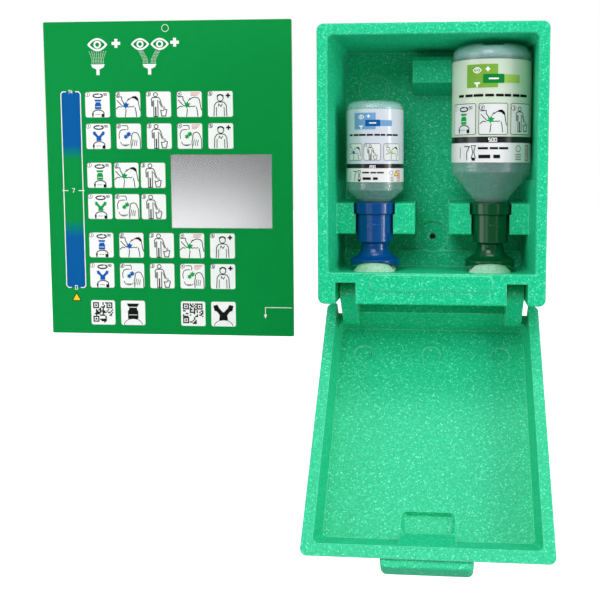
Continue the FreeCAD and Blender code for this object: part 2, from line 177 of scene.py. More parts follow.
def tone(base, factor, lift=0.0):
    return [min(1, part * factor + lift) for part in base[:3]] + [1]


def grey(level):
    return (level, level, level, 1)


def dress(names, material):
    for name in names:
        piece = nodes[name]
        piece.data.materials.clear()
        piece.data.materials.append(material.made)


cameraSet = {"place": (0.01428, -0.91, 0.07182), "lens": 52.8, "sensor": 36, "near": 0.01,
             "pitch": 5.19, "yaw": 4.86, "shift": (-0.12, -0.0903)}
skySet = {"around": 0.5, "ahead": 0.08, "turns": (-0.98, -0.45)}
lampSet = {  # place, target, size and power
    "key": ((-0.3, -1.4, 1.0), (0, 0, 0), (0.9, 0.9), 12.0),
    "left": ((-1.3, -0.9, 0.1), (0, 0, 0), (0.8, 1.2), 6.5),
    "right": ((1.3, -0.9, 0.1), (0, 0, 0), (0.8, 1.2), 5.5),
    "top": ((0.05, -0.5, 1.5), (0, -0.15, 0), (0.8, 0.6), 6.5),
    "strip": ((1.24, -0.66, 0.2), (0, -0.05, 0.05), (0.12, 1.0), 5.8),
    "glow": ((-1.4, -3.0, -0.23), (-0.2, 0, 0.05), (1.2, 0.3), 1.7)}
floorSet = {"drop": 0.12, "side": 6, "back": 8, "grain": 30.0, "tones": (0.55, 0.6), "rough": 0.7}
# the tones are dark grey: painted shade seen through the screw hole
wallSpotSet = {"radius": 0.004, "behind": 0.0004, "corners": 12, "grain": 400.0, "tones": (0.2, 0.26),
               "rough": 0.8}


def makeCamera():
    data = bpy.data.cameras.new("camera")
    data.lens = cameraSet["lens"]
    data.sensor_width = cameraSet["sensor"]
    data.shift_x, data.shift_y = cameraSet["shift"]
    data.clip_start = cameraSet["near"]
    camera = bpy.data.objects.new("camera", data)
    camera.location = cameraSet["place"]
    camera.rotation_euler = (math.radians(90 - cameraSet["pitch"]), 0, math.radians(cameraSet["yaw"]))
    bpy.context.scene.collection.objects.link(camera)
    bpy.context.scene.camera = camera


def makeLamp(name, place, target, size, power):
    data = bpy.data.lights.new(name, "AREA")
    data.shape = "RECTANGLE"
    data.size, data.size_y = size
    data.energy = power
    lamp = bpy.data.objects.new(name, data)
    lamp.location = place
    lamp.rotation_euler = (Vector(target) - Vector(place)).to_track_quat("-Z", "Y").to_euler()
    bpy.context.scene.collection.objects.link(lamp)


def makeStage(name, points, material):
    mesh = bpy.data.meshes.new(name)
    mesh.from_pydata(points, [], [tuple(range(len(points)))])
    mesh.materials.append(material.made)
    piece = bpy.data.objects.new(name, mesh)
    bpy.context.scene.collection.objects.link(piece)


def makeSky():
    # white to look at, softer as a light, and softest from the front
    bpy.context.scene.view_settings.view_transform = "Standard"
    world = bpy.data.worlds.new("studio")
    bpy.context.scene.world = world
    world.use_nodes = True
    sky = Graph(world.node_tree)
    way = sky.axis("Y", sky.node("ShaderNodeTexCoord", out="Generated"))
    level = sky.fade(way, skySet["turns"][0], skySet["turns"][1], skySet["ahead"], skySet["around"])
    seen = sky.node("ShaderNodeLightPath", out="Is Camera Ray")
    background = world.node_tree.nodes["Background"]
    background.inputs["Color"].default_value = grey(1)
    put(sky.tree, background.inputs["Strength"], seen.greater(level))


def makeFloor():
    dark, light = floorSet["tones"]
    pale = Material("paleFloor")
    seen = pale.node("ShaderNodeLightPath", out="Is Camera Ray")
    pale.set(Base_Color=pale.mix(pale.noise(floorSet["grain"]), grey(dark), grey(light)),
             Roughness=floorSet["rough"], Emission_Color=pale.mix(seen, grey(0), grey(1)), Emission_Strength=1.0)
    low, side, back = cadBox[0][2] - floorSet["drop"], floorSet["side"], floorSet["back"]
    makeStage("floor", [(-side, -side, low), (side, -side, low), (side, back, low), (-side, back, low)], pale)


def makeWallSpot():
    # a spot of wall behind the screw hole, which is otherwise seen through; its dark grey is painted shade for
    # the inside of the hole
    dark, light = wallSpotSet["tones"]
    holeShade = Material("wallSpotShade")
    holeShade.set(Base_Color=holeShade.mix(holeShade.noise(wallSpotSet["grain"]), grey(dark), grey(light)),
              Roughness=wallSpotSet["rough"])
    turns = [math.tau * n / wallSpotSet["corners"] for n in range(wallSpotSet["corners"])]
    radius, behind = wallSpotSet["radius"], wallSpotSet["behind"]
    ring = [(radius * math.cos(turn), behind, radius * math.sin(turn)) for turn in turns]
    makeStage("wallSpot", ring, holeShade)


makeCamera()
makeSky()
for name, values in lampSet.items():
    makeLamp(name, *values)
makeFloor()
makeWallSpot()
print("camera and studio made")

# edge is the colour of a painted highlight laid along the foam's edges
foamSet = {"bead": 430.0, "grain": 1000.0, "fleck": 1400.0, "rough": 0.42, "gloss": {"box": 0.2, "lid": 0.42},
           "dark": colour(0, 174, 118), "base": colour(2, 192, 136), "light": colour(40, 212, 160),
           "speck": colour(116, 234, 194), "edge": colour(126, 238, 198), "seamWidth": 0.08, "seamShare": 0.12,
           "edgeWidth": 0.0015, "edgeTurns": (0.012, 0.17), "edgeShare": 0.7, "bump": 0.4, "bumpDepth": 0.0008}


def foamMaterial(name, gloss):
    # moulded bead foam: beads with faint seams, a finer pale grain over them, and a painted highlight that
    # lightens the edges
    made = Material(name)
    place = made.place()
    bead = made.shades(foamSet["bead"], place)
    gap = made.cells(foamSet["bead"], place, "DISTANCE_TO_EDGE")
    fleck = made.noise(foamSet["fleck"], 3.0, 0.7, place)
    blend = 0.7 * made.shades(foamSet["grain"], place) + 0.16 * bead + 0.14 * fleck
    grain = made.ramp(blend, [(0.12, foamSet["dark"]), (0.36, foamSet["base"]), (0.62, foamSet["base"]),
                              (0.78, foamSet["light"]), (0.9, foamSet["speck"])])
    seam = made.fade(gap, 0.0, foamSet["seamWidth"], foamSet["seamShare"], 0.0)
    # painted highlight: a pale colour mixed in where the softened normal turns away from the flat one, along
    # edges
    soft, paintedEdgeHighlight = made.edges(foamSet["edgeWidth"], foamSet["edgeTurns"], foamSet["edgeShare"])
    height = gap.lesser(0.12) + 0.08 * fleck
    made.set(Base_Color=made.mix(paintedEdgeHighlight, made.mix(seam, grain, foamSet["speck"]), foamSet["edge"]),
             Roughness=foamSet["rough"] + 0.16 * bead, Specular_IOR_Level=gloss,
             Normal=made.bump(height, foamSet["bump"], foamSet["bumpDepth"], soft))
    return made


plasticSet = {"grain": 300.0, "tapeGrain": 900.0, "bump": 0.06, "bumpDepth": 0.0003}


def plasticMaterial(name, base, rough, grain=plasticSet["grain"]):
    made = Material(name)
    cloud = made.noise(grain, 3.0)
    made.set(Base_Color=made.mix(cloud, tone(base, 0.88), tone(base, 1.2, 0.003)), Roughness=rough + 0.04 * cloud,
             Normal=made.bump(cloud, plasticSet["bump"], plasticSet["bumpDepth"]))
    return made


capSet = {"rough": 0.15, "gloss": 0.42, "edgeWidth": 0.0006, "edgeTurns": (0.02, 0.2), "edgeShare": 0.6}


def capMaterial(name, base, lit):
    # glossy moulded cap, with a painted highlight that lightens its edges and raised arrow
    made = Material(name)
    cloud = made.noise(plasticSet["grain"], 3.0)
    # painted highlight: the lit colour mixed in along edges
    soft, paintedEdgeHighlight = made.edges(capSet["edgeWidth"], capSet["edgeTurns"], capSet["edgeShare"])
    made.set(Base_Color=made.mix(paintedEdgeHighlight, made.mix(cloud, tone(base, 0.9), base), lit),
             Roughness=capSet["rough"] + 0.04 * cloud, Specular_IOR_Level=capSet["gloss"],
             Normal=made.bump(cloud, plasticSet["bump"], plasticSet["bumpDepth"], soft))
    return made


padSet = {"cell": 600.0, "cloud": 800.0, "rough": 0.85, "bump": 0.4, "bumpDepth": 0.0006,
          "shades": [(0.35, colour(140, 210, 170)), (0.5, colour(196, 234, 212)), (0.66, colour(222, 240, 230))]}


def padMaterial():
    made = Material("paleFoam")
    place = made.place()
    cloud = made.noise(padSet["cloud"], 4.0, 0.7, place)
    made.set(Base_Color=made.ramp(cloud, padSet["shades"]), Roughness=padSet["rough"],
             Normal=made.bump(made.cells(padSet["cell"], place), padSet["bump"], padSet["bumpDepth"]))
    return made


bottleSet = {"haze": 0.11, "emptyHaze": 0.29, "rimHaze": 0.3, "rough": 0.26, "shine": 0.8,
             "tint": colour(200, 250, 247)}
fluidSet = {"haze": 0.012, "emptyHaze": 0.012, "rimHaze": 0.06, "rough": 0.05, "shine": 0.3,
            "tint": colour(190, 232, 236)}


def clearMaterial(name, values, level):
    # a thin milky film, the rest seen through: hazier above the fluid and toward the rim, under a gloss
    made = Material(name)
    smooth = made.soften(0.002, 4)
    made.set(Base_Color=made.mix(made.noise(60.0), values["tint"], tone(values["tint"], 1.06)),
             Roughness=values["rough"], Normal=smooth)
    facing = made.node("ShaderNodeLayerWeight", values={"Blend": 0.5}, out="Facing")
    haze = made.fade(made.axis("Z"), level - 2 * mm, level + 2 * mm, values["haze"], values["emptyHaze"])
    share = haze + (values["rimHaze"] - haze) * facing ** 3.0
    clear = made.node("ShaderNodeBsdfTransparent")
    milk = Socket(made.tree, made.shader.outputs[0])
    film = made.node("ShaderNodeMixShader", values={0: share, 1: clear, 2: milk})
    gloss = made.node("ShaderNodeBsdfGlossy", values={"Roughness": values["rough"], "Normal": smooth})
    shine = values["shine"] * (0.04 + 0.9 * facing ** 5.0)  # grows toward the rim, as on any clear plastic
    made.finish(made.node("ShaderNodeMixShader", values={0: shine, 1: film, 2: gloss}))
    return made


filmSet = {"large": (colour(204, 218, 200), colour(228, 228, 230)),  # above and under the stripe
           "small": (colour(204, 210, 222), colour(228, 226, 228)), "stripe": colour(30, 30, 32), "rough": 0.15}


def labelMaterial(size):
    # a printed film: tinted field, dark stripe, pale field
    low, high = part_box(size + "_label")
    made = Material(size + "Film")
    share = (high.z - made.axis("Z")) / (high.z - low.z)
    cloud = made.noise(120.0)
    upper, lower = filmSet[size]
    stripe = filmSet["stripe"]
    fields = [(0.0, upper), (0.748, upper), (0.75, stripe), (0.808, stripe), (0.81, lower), (1.0, lower)]
    made.set(Base_Color=made.ramp(share, fields), Roughness=filmSet["rough"] + 0.05 * cloud,
             Normal=made.bump(cloud, 0.02, 0.0002))
    return made


sheetSet = {"back": colour(226, 227, 224), "greens": (colour(0, 136, 60), colour(0, 142, 64)), "rough": 0.42,
            "gloss": 0.06, "grain": 140.0, "skin": 0.2 * mm}


def signMaterial():
    # white sheet, printed green on its front
    made = Material("printedSheet")
    cloud = made.noise(sheetSet["grain"], 3.0)
    front = made.axis("Y").below(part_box("sign_board")[0].y + sheetSet["skin"])
    made.set(Base_Color=made.mix(front, sheetSet["back"], made.mix(cloud, *sheetSet["greens"])),
             Roughness=sheetSet["rough"] + 0.08 * cloud, Specular_IOR_Level=sheetSet["gloss"],
             Normal=made.bump(cloud, 0.03, 0.0003))
    return made


def mirrorMaterial():
    made = Material("mirrorSheet")
    made.set(Base_Color=(0.86, 0.87, 0.88, 1), Metallic=1.0, Roughness=0.2 + 0.02 * made.noise(8.0))
    return made


dress(["box_shell"], foamMaterial("beadFoam", foamSet["gloss"]["box"]))
dress(["lid"], foamMaterial("beadFoamLid", foamSet["gloss"]["lid"]))
dress(["hinge_pin_left", "hinge_pin_right"], plasticMaterial("darkPin", colour(20, 120, 80), 0.4))
dress(["dust_pad_small", "dust_pad_large"], padMaterial())
dress(["sign_board"], signMaterial())
dress(["sign_mirror"], mirrorMaterial())
dress(["sign_adhesive_strips"], plasticMaterial("foamTape", colour(225, 225, 222), 0.9, plasticSet["tapeGrain"]))
for size in ("small", "large"):
    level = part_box(size + "_saline")[1].z
    dress([size + "_bottle"], clearMaterial(size + "MilkyBottle", bottleSet, level))
    dress([size + "_saline"], clearMaterial(size + "ClearFluid", fluidSet, level))
    dress([size + "_label"], labelMaterial(size))
dress(["small_nozzle", "large_nozzle"], plasticMaterial("whiteNozzle", colour(235, 236, 235), 0.4))
dress(["small_gasket", "large_gasket"], plasticMaterial("paleGasket", colour(225, 224, 220), 0.6))
dress(["small_collar", "small_eyecup"], capMaterial("blueCap", colour(0, 70, 138), colour(40, 130, 205)))
dress(["large_collar", "large_eyecup"], capMaterial("greenCap", colour(0, 78, 40), colour(40, 130, 84)))
print("finishes made")

inkSet = {"white": colour(246, 248, 246), "black": colour(22, 22, 24), "blue": colour(20, 92, 178),
          "green": colour(18, 160, 78), "yellow": colour(248, 210, 30), "grey": colour(120, 122, 126),
          "red": colour(205, 70, 70), "olive": colour(122, 172, 62), "deepGreen": colour(10, 128, 52),
          "lime": colour(160, 200, 92), "sky": colour(112, 160, 205), "navy": colour(12, 88, 156),
          "pale": colour(222, 226, 226), "signGreen": colour(0, 139, 62)}
printSet = {"lift": 0.06 * mm, "turnLift": 0.02, "turns": 30, "grain": 200.0, "rough": 0.4, "gloss": 0.06}
inks = {}


def inkMaterial(name):
    if name not in inks:
        made = Material("ink" + name[0].upper() + name[1:])
        cloud = made.noise(printSet["grain"])
        made.set(Base_Color=made.mix(cloud, tone(inkSet[name], 0.93), inkSet[name]),
                 Roughness=printSet["rough"] + 0.06 * cloud, Specular_IOR_Level=printSet["gloss"])
        inks[name] = made
    return inks[name]


def link(name, mesh, body, slot, material):
    piece = bpy.data.objects.new(name, mesh)
    bpy.context.scene.collection.objects.link(piece)
    mesh.materials.append(material.made)
    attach(piece, body)


class Print:
    # flat shapes in mm, x to the right and y down, laid on a surface by the place function
    def __init__(self, place, step=None):
        self.place = place
        self.step = step
        self.layers = {}

    def add(self, ink, points, level):
        self.layers.setdefault(ink, []).append((points, level))

    def build(self, name, body, slot):
        for ink, shapes in self.layers.items():
            mesh = bpy.data.meshes.new(name + ink)
            made = bmesh.new()
            for count, (points, level) in enumerate(shapes):
                # neighbours of one ink lie at slightly different heights
                lift = level + count % printSet["turns"] * printSet["turnLift"]
                flat = [Vector((x, -y, lift)) for x, y in points]
                corners = [made.verts.new(point) for point in flat]
                for numbers in tessellate_polygon([flat]):
                    if len(set(numbers)) < 3:  # a sliver with no face
                        continue
                    face = made.faces.new([corners[number] for number in numbers])
                    face.normal_update()
                    if face.normal.z < 0:
                        face.normal_flip()
            self.bend(made)
            for vert in made.verts:
                vert.co = self.place(vert.co.x, -vert.co.y, vert.co.z * printSet["lift"])
            made.to_mesh(mesh)
            made.free()
            link(name + ink[0].upper() + ink[1:], mesh, body, slot, inkMaterial(ink))

    def bend(self, made):
        # cuts the shapes into strips, so that they follow a round surface
        if not self.step:
            return
        count = int(max(abs(vert.co.x) for vert in made.verts) / self.step)
        for number in range(-count, count + 1):
            bmesh.ops.bisect_plane(made, geom=made.verts[:] + made.edges[:] + made.faces[:],
                                   plane_co=(number * self.step, 0, 0), plane_no=(1, 0, 0))


class Pen:
    # draws in a square of its own, scaled onto a print
    def __init__(self, sheet, x=0.0, y=0.0, scale=1.0, level=2, bold=1.0):
        self.sheet, self.x, self.y, self.scale, self.level, self.bold = sheet, x, y, scale, level, bold

    def poly(self, ink, points, level=None):
        self.sheet.add(ink, [(self.x + u * self.scale, self.y + v * self.scale) for u, v in points],
                       level or self.level)

    def rect(self, ink, x0, y0, x1, y1, level=None):
        self.poly(ink, [(x0, y0), (x1, y0), (x1, y1), (x0, y1)], level)

    def arc(self, cx, cy, rx, ry, start, end, count=20):
        turn = [math.radians(start + (end - start) * n / count) for n in range(count + 1)]
        return [(cx + rx * math.cos(t), cy + ry * math.sin(t)) for t in turn]

    def disc(self, ink, cx, cy, r, level=None):
        self.poly(ink, self.arc(cx, cy, r, r, 0, 360, 24)[:-1], level)

    def corners(self, x0, y0, x1, y1, r, count):
        # the outline of a box with round corners
        points = []
        for cx, cy, start in ((x1 - r, y0 + r, -90), (x1 - r, y1 - r, 0),
                              (x0 + r, y1 - r, 90), (x0 + r, y0 + r, 180)):
            points += self.arc(cx, cy, r, r, start, start + 90, count)
        return points

    def rounded(self, ink, x0, y0, x1, y1, r, level=None):
        self.poly(ink, self.corners(x0, y0, x1, y1, r, 6), level)

    def line(self, ink, points, width, level=None):
        # a ribbon with mitred corners, one quad to each run
        closed = points[0] == points[-1]
        path = [Vector(point) for point in points]
        if closed:
            path = path[:-1]
        count = len(path)
        left, right = [], []
        for n, here in enumerate(path):
            before = path[n - 1] if (n or closed) else None
            after = path[(n + 1) % count] if (n < count - 1 or closed) else None
            into = (here - before).normalized() if before is not None else (after - here).normalized()
            away = (after - here).normalized() if after is not None else into
            middle = into + away
            middle = middle.normalized() if middle.length > 0.2 else away
            side = Vector((-middle.y, middle.x))
            reach = self.bold * width / 2 / max(0.45, side.dot(Vector((-away.y, away.x))))
            left.append(here + side * reach)
            right.append(here - side * reach)
        for n in range(count if closed else count - 1):
            m = (n + 1) % count
            self.poly(ink, [tuple(left[n]), tuple(left[m]), tuple(right[m]), tuple(right[n])], level)

    def ring(self, ink, cx, cy, rx, width, ry=None, start=0, end=360):
        self.line(ink, self.arc(cx, cy, rx, ry or rx, start, end, 24), width)

    def plus(self, ink, cx, cy, reach, half):
        quarter = [(-half, -reach), (half, -reach), (half, -half)]
        points = []
        for turn in range(4):
            for u, v in quarter:
                for _ in range(turn):
                    u, v = -v, u
                points.append((cx + u, cy + v))
        self.poly(ink, points)

    def digits(self, ink, text, x, y, tall, width):
        # plain numerals from straight strokes
        unit = tall / 5
        for letter in text:
            for stroke in digitStrokes[letter]:
                self.line(ink, [(x + u * unit, y + v * unit) for u, v in stroke], width)
            x += unit * (2.9 if letter == "1" else 4.6)


digitStrokes = {
    "0": [[(0, 0), (3, 0), (3, 5), (0, 5), (0, 0)]],
    "1": [[(0.6, 0.8), (1.4, 0), (1.4, 5)]],
    "2": [[(0, 0), (3, 0), (3, 2.5), (0, 2.5), (0, 5), (3, 5)]],
    "3": [[(0, 0), (3, 0), (3, 5), (0, 5)], [(0.6, 2.5), (2.7, 2.5)]],
    "4": [[(0, 0), (0, 2.8), (3, 2.8)], [(2.3, 0), (2.3, 5)]],
    "5": [[(3, 0), (0, 0), (0, 2.5), (3, 2.5), (3, 5), (0, 5)]],
    "7": [[(0, 0), (3, 0), (1.2, 5)]],
    "9": [[(3, 2.5), (0, 2.5), (0, 0), (3, 0), (3, 5), (0, 5)]],
}


def drawStep(pen, number):
    pen.disc("white", 9, 9, 10, level=2)
    pen.ring("grey", 9, 9, 9, 1.6)
    pen.digits("black", str(number), 7, 5, 9, 1.8)


def drawCap(pen, ink, double, x=52, y=30, size=1.0):
    def spot(points):
        return [(x + u * size, y + v * size) for u, v in points]
    if double:
        cup = [(-25, 3), (-15, 0), (-11, 8), (0, 20), (-6, 30), (-16, 17), (-22, 15)]
        pen.poly(ink, spot(cup), 3)
        pen.poly(ink, spot([(-u, v) for u, v in cup]), 3)
        pen.poly(ink, spot([(0, 18), (9, 24), (11, 38), (-11, 38), (-9, 24)]), 4)
    else:
        side = [(15, 0), (13, 5), (10, 9), (10, 15), (13, 19), (13, 38)]
        pen.poly(ink, spot([(-15, 0)] + side + [(-u, v) for u, v in side[:0:-1]]), 3)
        pen.line("white", spot([(-11, 9), (11, 9)]), 1.6 * size, 5)
        pen.line("white", spot([(-11, 28), (11, 28)]), 1.2 * size, 5)


def drawTwist(pen, ink, double, number):
    drawStep(pen, number)
    pen.ring("black", 52, 15, 19, 3.4, 7, -50, 285)
    pen.poly("black", [(60, 5), (71, 9), (62, 13)])
    pen.digits("grey", "90", 76, 6, 8, 1.6)
    drawCap(pen, ink, double)
    pen.line("black", [(30, 99), (30, 84)] + pen.arc(53, 84, 23, 13, 180, 360, 12) + [(76, 99)], 2.6)
    pen.rect("black", 66, 86, 76, 99)
    pen.line("grey", [(40, 88), (60, 88)], 1.4)


def drawBlob(pen, ink, x, y, reach):
    # a splash with six points
    points = []
    for n in range(12):
        turn = math.radians(30 * n + 8)
        out = reach * (1.0 if n % 2 else 0.55)
        points.append((x + out * math.cos(turn), y + out * math.sin(turn)))
    pen.poly(ink, points, 3)


def drawHead(pen, ink, number, notes=False):
    drawStep(pen, number)
    drawBlob(pen, ink, 41, 53, 15)
    pen.line("black", [(3, 21), (24, 20), (25, 32), (34, 44)], 2.2)
    pen.line("black", [(5, 33), (21, 50), (30, 58)], 2.2)
    pen.line("black", [(1, 68), (12, 58), (24, 60)], 2.2)
    brow = pen.arc(72, 42, 22, 19, 215, 330, 10)
    pen.line("black", [(46, 38), (52, 28)] + brow + [(95, 58), (99, 74)], 2.2)
    pen.line("black", [(50, 60), (60, 58), (68, 60), (74, 56)], 2.0)
    pen.line("black", [(78, 60), (82, 78), (84, 99)], 2.2)
    pen.line("black", [(42, 68), (40, 84), (38, 99)], 2.2)
    if notes:
        for v, end in ((6, 92), (11, 88), (16, 82)):
            pen.line("red", [(56, v), (end, v)], 1.3)
    else:
        pen.poly("black", [(58, 27), (70, 18), (82, 17), (91, 25), (94, 38), (86, 34), (78, 27), (68, 25)], 4)


def drawHand(pen, ink, number, notes=False):
    drawStep(pen, number)
    drawBlob(pen, ink, 38, 52, 11)
    drawBlob(pen, ink, 50, 42, 12)
    pen.line("black", [(22, 8), (44, 8), (48, 16), (46, 26)], 2.0)
    pen.line("black", [(12, 60), (10, 42), (16, 28), (26, 24), (40, 24)], 2.0)
    pen.line("black", pen.arc(36, 70, 20, 18, 35, 175, 10), 1.8)
    pen.line("black", [(28, 82), (36, 85), (44, 82)], 1.6)
    cuff = pen.arc(76, 48, 14, 13, 190, 350, 8)
    pen.line("black", [(60, 98), (58, 72), (62, 54)] + cuff + [(96, 60), (97, 98)], 2.2)
    for n in range(3):
        x = 68 + 8 * n
        pen.line("black", [(x, 62 + 2 * n), (x - 3, 76), (x - 4, 88)], 1.7)
    if notes:
        for v, end in ((6, 92), (11, 88), (16, 84), (21, 78)):
            pen.line("red", [(58, v), (end, v)], 1.3)


def drawBin(pen, number):
    drawStep(pen, number)
    pen.ring("black", 38, 12, 8, 2.2)
    pen.line("black", [(30, 60), (30, 98), (37, 98), (37, 60)], 2.2)
    pen.line("black", [(39, 60), (39, 98), (47, 98), (47, 32)], 2.2)
    pen.line("black", [(30, 60), (30, 34)], 2.0)
    pen.line("black", [(22, 58), (21, 30), (26, 23), (50, 23), (56, 30), (60, 46), (66, 60)], 2.2)
    pen.line("black", [(26, 58), (26, 36)], 1.8)
    pen.line("black", [(52, 36), (58, 52), (62, 62)], 1.8)
    pen.line("black", [(58, 72), (62, 96), (78, 96), (83, 70)], 2.4)
    pen.line("black", [(57, 72), (66, 76), (74, 70), (83, 70)], 1.8)
    pen.line("grey", [(68, 60), (71, 72), (76, 68), (72, 58)], 1.8)


def drawBust(pen, number):
    drawStep(pen, number)
    pen.ring("black", 50, 27, 12, 2.2)
    pen.line("black", pen.arc(50, 22, 13, 9, 185, 355, 10), 2.4)
    pen.line("black", [(24, 98), (26, 56), (34, 44), (42, 42), (58, 42), (66, 44), (74, 56), (76, 98)], 2.3)
    pen.line("black", [(34, 98), (35, 62)], 2.0)
    pen.line("black", [(66, 98), (65, 62)], 2.0)
    pen.line("black", [(42, 60), (44, 50), (52, 60), (58, 50)], 2.0)
    pen.plus("black", 81, 17, 9, 3)


def drawBlocks(pen, seed):
    # plain scattered blocks that stand in for a code
    chance = random.Random(seed)
    cells = 15
    side = 84 / cells
    for row in range(cells):
        for column in range(cells):
            corner = (row < 5 or row > 9) and (column < 5 or column > 9)
            if corner or chance.random() < 0.5:
                continue
            x, y = 8 + column * side, 8 + row * side
            pen.rect("black", x, y, x + side * 0.98, y + side * 0.98)
    for x, y in ((8, 8), (92 - 5 * side, 8), (8, 92 - 5 * side)):
        x0, y0, x1, y1 = x + side / 2, y + side / 2, x + 4 * side, y + 4 * side
        pen.line("black", [(x0, y0), (x1, y0), (x1, y1), (x0, y1), (x0, y0)], side * 0.9)
        pen.rect("black", x + 1.6 * side, y + 1.6 * side, x + 2.9 * side, y + 2.9 * side)


def drawEye(pen, x, y, wide, tall, hole):
    half = wide / 2
    upper = [(x - half + wide * n / 16, y - tall / 2 * math.sin(math.pi * n / 16) ** 0.8) for n in range(17)]
    lower = [(2 * x - u, 2 * y - v) for u, v in upper[1:-1]]
    pen.poly("white", upper + lower)
    inner = [(x + (u - x) * 0.76, y + (v - y) * 0.7) for u, v in upper + lower]
    pen.poly(hole, inner, pen.level + 1)
    pen.disc("white", x, y, tall * 0.3, level=pen.level + 2)
    pen.disc(hole, x, y, tall * 0.16, level=pen.level + 3)


def drawShower(pen, x, y, wide):
    # the rose of an eye shower and its stem
    side = [(wide / 2, 0), (wide * 0.42, 3), (wide * 0.2, 4.6), (1.7, 4.8), (1.7, 11)]
    outline = [(-wide / 2, 0)] + side + [(-u, v) for u, v in side[:0:-1]]
    pen.poly("white", [(x + u, y + v) for u, v in outline])


def drawSpray(pen, spots):
    # rows of small drops under an eye, from each row's places across
    for row in range(9):
        y = 30.6 + row * 1.45
        for x in spots(row):
            pen.rect("white", x - 0.3, y, x + 0.3, y + 0.7)


signSet = {"ground": "signGreen", "square": 26.4, "corner": 2.1,
           "rows": (72.5, 105.5, 146.4, 179.4, 220.4, 252.9), "closeRows": (2, 3), "codeRow": 293.0,
           "columns": (43.3, 76.2, 109.0, 141.8, 174.6), "closeColumns": (43.3, 72.6, 101.4),
           "bar": (17.0, 72.1, 38.1, 279.5), "blockSeed": 7}


barSet = {"end": colour(0, 88, 155), "middle": colour(0, 139, 62), "rough": 0.42}


def barMaterial(low, high):
    # blue at both ends of the scale, green between them
    made = Material("scaleBar")
    end, middle = barSet["end"], barSet["middle"]
    fields = [(0.0, end), (0.26, end), (0.35, middle), (0.66, middle), (0.73, end), (1.0, end)]
    made.set(Base_Color=made.ramp((made.axis("Z") - low) / (high - low), fields),
             Roughness=barSet["rough"] + 0.05 * made.noise(printSet["grain"]),
             Specular_IOR_Level=printSet["gloss"])
    return made


def signPrint():
    low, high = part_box("sign_board")
    sheet = Print(lambda x, y, lift: Vector((low.x + x * mm, low.y - lift, high.z - y * mm)))
    pen = Pen(sheet, level=1)
    ground, side, corner = signSet["ground"], signSet["square"], signSet["corner"]
    pen.ring("white", 130.7, 7.6, 3.6, 0.5)
    drawEye(pen, 58.0, 23.7, 21.5, 13.4, ground)
    pen.plus("white", 78.0, 22.6, 4.6, 1.6)
    drawSpray(pen, lambda row: [58.0 + (n - 3.5) * 1.75 * (1.0 + 0.09 * max(0, 5 - row)) for n in range(8)])
    drawShower(pen, 58.0, 44.0, 14.6)
    for x in (103.8, 124.7):
        drawEye(pen, x, 23.7, 19.4, 12.4, ground)
    pen.plus("white", 140.6, 22.1, 4.5, 1.6)
    drawSpray(pen, lambda row: [113.4 + way * (2.0 + n * 1.5 + 0.75 * max(0, 6 - row))
                                for n in range(4) for way in (-1, 1)])
    drawShower(pen, 113.4, 44.0, 14.6)
    for number, y in enumerate(signSet["rows"]):
        double = number % 2 == 1
        close = number in signSet["closeRows"]
        ink = "green" if close else "blue"
        rinse = drawHand if double else drawHead
        draws = [lambda p: drawTwist(p, ink, double, 1), lambda p: rinse(p, ink, 2), lambda p: drawBin(p, 3),
                 lambda p: rinse(p, "green", 4, True), lambda p: drawBust(p, 5)]
        for x, draw in zip(signSet["closeColumns"] if close else signSet["columns"], draws):
            pen.rounded("white", x, y, x + side, y + side, corner)
            draw(Pen(sheet, x, y, side / 100, level=3, bold=1.45))
    y = signSet["codeRow"]
    for column, double in ((0, False), (3, True)):
        x = signSet["columns"][column]
        pen.rounded("white", x, y, x + side, y + side, corner)
        drawBlocks(Pen(sheet, x, y, side / 100, level=3), signSet["blockSeed"] + column)
        x = signSet["columns"][column + 1]
        pen.rounded("white", x, y, x + side, y + side, corner)
        icon = Pen(sheet, x, y, side / 100, level=3)
        drawCap(icon, "black", double, 50, 12, 1.65)
        icon.line("black", [(12, 98)] + icon.arc(50, 98, 37, 24, 190, 350, 14) + [(88, 98)], 2.2)
    x0, y0, x1, y1 = signSet["bar"]
    middle, half = (x0 + x1) / 2, (y0 + y1) / 2
    for x, way in ((x0, 1), (x1, -1)):
        bracket = [(middle - way * 5, y0), (x + way * 2, y0), (x, y0 + 2),
                   (x, y1 - 2), (x + way * 2, y1), (middle - way * 5, y1)]
        pen.line("white", bracket, 0.9, 2)
        pen.line("white", [(x - way * 1.6, half), (x + way * 5, half)], 0.7, 2)
    marks = Pen(sheet, level=2)
    marks.digits("white", "14", middle - 2.6, y0 - 1.9, 3.9, 0.5)
    marks.digits("white", "7", middle - 1.3, half - 2.2, 4.4, 0.6)
    marks.digits("white", "0", middle - 1.2, y1 - 2.0, 4.0, 0.6)
    pen.poly("black", [(middle, 284.4), (middle + 5.4, 294.2), (middle - 5.4, 294.2)])
    pen.poly("yellow", [(middle, 286.1), (middle + 4.0, 293.3), (middle - 4.0, 293.3)], 2)
    pen.line("white", [(232.5, 298.5), (260.9, 298.5)], 0.7)
    pen.line("white", [(232.9, 298.5), (232.9, 306.5)], 0.7)
    pen.poly("white", [(231.2, 306.0), (234.6, 306.0), (232.9, 310.4)])
    sheet.build("signPrint", "station", "sign")
    print("sign printed")
    bar = bpy.data.meshes.new("signScaleBar")
    corners = [(x0, y0), (x1, y0), (x1, y1), (x0, y1)]
    bar.from_pydata([sheet.place(x, y, printSet["lift"]) for x, y in corners], [], [(3, 2, 1, 0)])
    link("signScaleBar", bar, "station", "sign", barMaterial(high.z - y1 * mm, high.z - y0 * mm))
    print("scale bar made")


signPrint()

